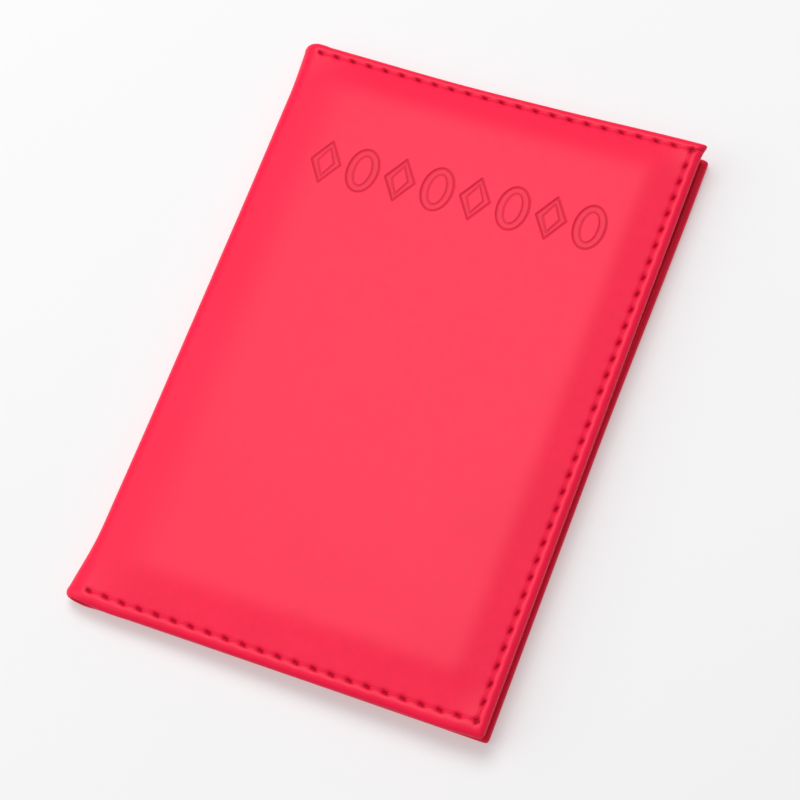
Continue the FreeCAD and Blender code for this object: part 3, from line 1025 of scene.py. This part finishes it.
# ---- thread, by Geometry Nodes
def stitch_tree():
    """One sewn stitch on every point: a thread that dives into a hole at each end."""
    tree = bpy.data.node_groups.new("sewn_stitches", "GeometryNodeTree")
    tree.is_modifier = True
    faces = tree.interface
    faces.new_socket("Geometry", in_out="INPUT", socket_type="NodeSocketGeometry")
    for name, kind in (
        ("Thread radius", "NodeSocketFloat"), ("Hole depth", "NodeSocketFloat"),
        ("Rise", "NodeSocketFloat"), ("Thread", "NodeSocketMaterial"),
    ):
        faces.new_socket(name, in_out="INPUT", socket_type=kind)
    faces.new_socket("Geometry", in_out="OUTPUT", socket_type="NodeSocketGeometry")
    source = add(tree, "NodeGroupInput").outputs
    dive = add(tree, "ShaderNodeMath", {0: source["Hole depth"], 1: -1.0}, operation="MULTIPLY")
    first = add(tree, "ShaderNodeCombineXYZ", {0: -0.5, 2: dive})
    last = add(tree, "ShaderNodeCombineXYZ", {0: 0.5, 2: dive})
    third = add(tree, "ShaderNodeMath", {0: source["Hole depth"], 1: 1 / 3}, operation="MULTIPLY")
    over = add(
        tree, "ShaderNodeMath", {0: source["Rise"], 1: 4 / 3, 2: third}, operation="MULTIPLY_ADD"
    )
    left = add(tree, "ShaderNodeCombineXYZ", {0: -0.46, 2: over})
    right = add(tree, "ShaderNodeCombineXYZ", {0: 0.46, 2: over})
    bow = add(
        tree, "GeometryNodeCurvePrimitiveBezierSegment",
        {"Resolution": 7, "Start": first, "Start Handle": left, "End Handle": right, "End": last},
    )
    ring = add(
        tree, "GeometryNodeCurvePrimitiveCircle",
        {"Resolution": 6, "Radius": source["Thread radius"]},
    )
    marked = []
    for curve, name in ((bow, "thread_along"), (ring, "thread_around")):
        share = add(tree, "GeometryNodeSplineParameter").outputs["Factor"]
        marked.append(add(
            tree, "GeometryNodeStoreNamedAttribute",
            {"Geometry": curve, "Name": name, "Value": share}, data_type="FLOAT", domain="POINT",
        ))
    along, out = (
        add(tree, "GeometryNodeInputNamedAttribute", {"Name": name}, data_type="FLOAT_VECTOR")
        for name in ("sewn_along", "sewn_out")
    )
    length = add(tree, "ShaderNodeVectorMath", {0: along}, operation="LENGTH").outputs["Value"]
    turn = add(
        tree, "FunctionNodeAxesToRotation",
        {"Primary Axis": along, "Secondary Axis": out}, primary_axis="X", secondary_axis="Z",
    )
    size = add(tree, "ShaderNodeCombineXYZ", {0: length, 1: 1.0, 2: 1.0})
    thread = add(
        tree, "GeometryNodeCurveToMesh",
        {"Curve": marked[0], "Profile Curve": marked[1], "Fill Caps": True},
    )
    placed = add(
        tree, "GeometryNodeInstanceOnPoints",
        {"Points": source["Geometry"], "Instance": thread, "Rotation": turn, "Scale": size},
    )
    real = add(tree, "GeometryNodeRealizeInstances", {"Geometry": placed})
    smooth = add(tree, "GeometryNodeSetShadeSmooth", {"Geometry": real, "Shade Smooth": True})
    painted = add(
        tree, "GeometryNodeSetMaterial", {"Geometry": smooth, "Material": source["Thread"]}
    )
    add(tree, "NodeGroupOutput", {"Geometry": painted})
    return tree


STITCH_TREE = stitch_tree()


def thread_piece(name, places, dive, rise):
    """Sews thread between needle holes and turns the result into a plain mesh."""
    seed = bpy.data.meshes.new(name + "_points")
    seed.from_pydata([spot[0].tolist() for spot in places], [], [])
    for label, number in (("sewn_along", 1), ("sewn_out", 2)):
        layer = seed.attributes.new(label, "FLOAT_VECTOR", "POINT")
        values = np.array([spot[number] for spot in places], np.float32)
        layer.data.foreach_set("vector", values.ravel())
    source = new_object(name + "_points", seed)
    modifier = source.modifiers.new("stitches", "NODES")
    modifier.node_group = STITCH_TREE
    values = {"Thread radius": THREAD_RADIUS, "Hole depth": dive, "Rise": rise, "Thread": THREAD}
    for item in STITCH_TREE.interface.items_tree:
        if item.in_out == "INPUT" and item.name in values:
            modifier[item.identifier] = values[item.name]
    depsgraph = bpy.context.evaluated_depsgraph_get()
    mesh = bpy.data.meshes.new_from_object(source.evaluated_get(depsgraph), depsgraph=depsgraph)
    bpy.data.objects.remove(source)
    mesh.name = name
    return new_object(name, mesh)


# ---- putting it together
def shown(piece, nodes):
    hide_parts(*nodes)
    return piece


def across_the_fold(piece, side):
    """Half the spine's bend is part of each cover's sheet. This bakes the piece's place into its mesh;
    the fold's two ends are found but not used.
    """
    start = Vector(place(side, 0.0, 0.0, 0.0).tolist())
    end = Vector(place(side, -QUARTER, 0.0, 0.0).tolist())
    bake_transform(piece)


def sew(name, side, *seams):
    """The thread of some (rows, depth) seams, riding on a cover in place of its CAD node."""
    places = []
    for rows, depth in seams:
        places += thread_places(side, rows, depth)
    lie = OUTER_THREAD if seams[0][1] == 0.0 else INNER_THREAD
    piece = thread_piece(name + "_thread", places, *lie)
    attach(piece, side + "_cover")
    return shown(piece, [name])


def inner_face(node, side):
    return sheet_box(node, side)[2][1]


def panel_size(node, side):
    along_range, y_range, depth_range = sheet_box(node, side)
    return (float(along_range[1] - along_range[0]), float(y_range[1] - y_range[0]))


def mouth_row(mouth, level):
    """The row along a panel's open edge, kept off the rows at its two ends."""
    along = mouth + OWN_STITCH_INSET
    level = level - GROOVE_WIDTH
    return [((along, -level), (along, level))]


def panel_piece(node, side, rows):
    piece = sewn_panel(node, side, rows)
    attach(piece, side + "_cover")
    shown(piece, [node])
    panel_size(node, side)
    return piece


def fit_cover(side):
    """Every layer of one cover, from the outer leather in to its sleeve."""
    length = LENGTH[side]
    leather = outer_skin(side)
    across_the_fold(leather, side)
    shown(leather, [side + "_outer_leather", "spine_outer_leather"])
    lining = lining_cloth(side)
    across_the_fold(lining, side)
    shown(lining, [side + "_lining", "spine_lining"])
    padding = foam_padding(side)
    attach(padding, side + "_cover")
    shown(padding, [side + "_foam_pad"])
    for slot in frame["nodes"][side + "_stiffener_board"].material_slots:
        slot.material = BOARD

    node = side + "_passport_sleeve"
    mouth = sheet_box(node, side)[0][0]
    level = HALF_HEIGHT - STITCH_INSET
    edge = seam_rows(mouth, length - STITCH_INSET, level)
    opening = mouth_row(mouth, level)
    hem = seam_rows(INNER_ROW_START, mouth - GROOVE_WIDTH, level, side_row=False)
    face = inner_face(node, side)
    sleeve = panel_piece(node, side, edge + opening)
    sew(side + "_outer_stitches", side, (cover_rows(side), 0.0))
    sew(side + "_inner_stitches", side, (hem, HEM_TOP), (edge, face))
    sew(side + "_sleeve_mouth_stitches", side, (opening, face))
    return sleeve


def fit_card_pockets(sleeve):
    """Two card pockets, one stepped over the other, on the front cover's sleeve."""
    rear, front = "rear_card_pocket", "front_card_pocket"
    rear_mouth = sheet_box(rear, "front")[0][0]
    front_mouth, far = sheet_box(front, "front")[0]
    level = sheet_box(front, "front")[1][1] - OWN_STITCH_INSET
    short = seam_rows(rear_mouth, front_mouth - GROOVE_WIDTH, level, side_row=False)
    whole = seam_rows(front_mouth, far - OWN_STITCH_INSET, level)
    rear_opening = mouth_row(rear_mouth, level)
    front_opening = mouth_row(front_mouth, level)
    lower = panel_piece(rear, "front", short + rear_opening)
    panel_piece(front, "front", whole + front_opening)
    rear_face, front_face = inner_face(rear, "front"), inner_face(front, "front")
    sew("card_pocket_seam_stitches", "front", (short, rear_face), (whole, front_face))
    sew("rear_pocket_mouth_stitches", "front", (rear_opening, rear_face))
    sew("front_pocket_mouth_stitches", "front", (front_opening, front_face))


fit_cover("back")
fit_card_pockets(fit_cover("front"))


# ---- floor, light and camera
def floor():
    """A wide plain sheet of milk-white plastic, partly lit from below, so shadows stay faint."""
    mesh = bpy.data.meshes.new("studio_floor")
    far = 3.0
    corners = [(-far, -far, 0), (far, -far, 0), (far, far, 0), (-far, far, 0)]
    mesh.from_pydata(corners, [], [(0, 1, 2, 3)])
    material, tree = new_material("pale_studio_floor")
    shader = add(
        tree, "ShaderNodeBsdfPrincipled",
        {"Base Color": linear("#C4C4C5"), "Emission Color": linear("#FFFFFF"),
         "Emission Strength": 0.34, "Roughness": 0.9, "Specular IOR Level": 0.1},
    )
    add(tree, "ShaderNodeOutputMaterial", {0: shader})
    mesh.materials.append(material)
    plane = new_object("studio_floor", mesh)
    plane.location.z = -PUFF


def softbox(name, azimuth, elevation, distance, size, power):
    """A square area light, aimed at the holder's middle."""
    light = bpy.data.lights.new(name, "AREA")
    light.shape = "SQUARE"
    light.size = size
    light.energy = power
    lamp = new_object(name, light)
    lamp.location = from_angles(azimuth, elevation, distance)
    lamp.rotation_euler = lamp.location.to_track_quat("Z", "Y").to_euler()


def from_angles(azimuth, elevation, distance):
    """A point seen at an azimuth from the front (-Y) towards +X, and an elevation."""
    a, e = math.radians(azimuth), math.radians(elevation)
    return distance * Vector((math.cos(e) * math.sin(a), -math.cos(e) * math.cos(a), math.sin(e)))


def camera():
    data = bpy.data.cameras.new("camera")
    data.lens = 129.3
    data.sensor_width = 36.0
    data.clip_start = 0.01
    eye = new_object("camera", data)
    away = from_angles(34.52, 66.49, 628.7 * MM)
    eye.location = Vector((3.53, -5.97, 4.0)) * MM + away
    turn = away.to_track_quat("Z", "Y") @ Quaternion((0, 0, 1), math.radians(-14.97))
    eye.rotation_euler = turn.to_euler()
    bpy.context.scene.camera = eye


def surroundings():
    """Even white light from all round, as in a light tent."""
    world = bpy.data.worlds.new("light_tent")
    world.use_nodes = True
    background = world.node_tree.nodes["Background"]
    background.inputs["Color"].default_value = linear("#FFFFFF")
    background.inputs["Strength"].default_value = 0.32
    bpy.context.scene.world = world
    bpy.context.scene.view_settings.view_transform = "Standard"
    bpy.context.scene.view_settings.look = "None"


floor()
softbox("overhead_softbox", 214.0, 66.0, 1.2, 0.7, 9.7)
softbox("side_softbox", 285.0, 40.0, 1.3, 1.0, 5.6)
camera()
surroundings()
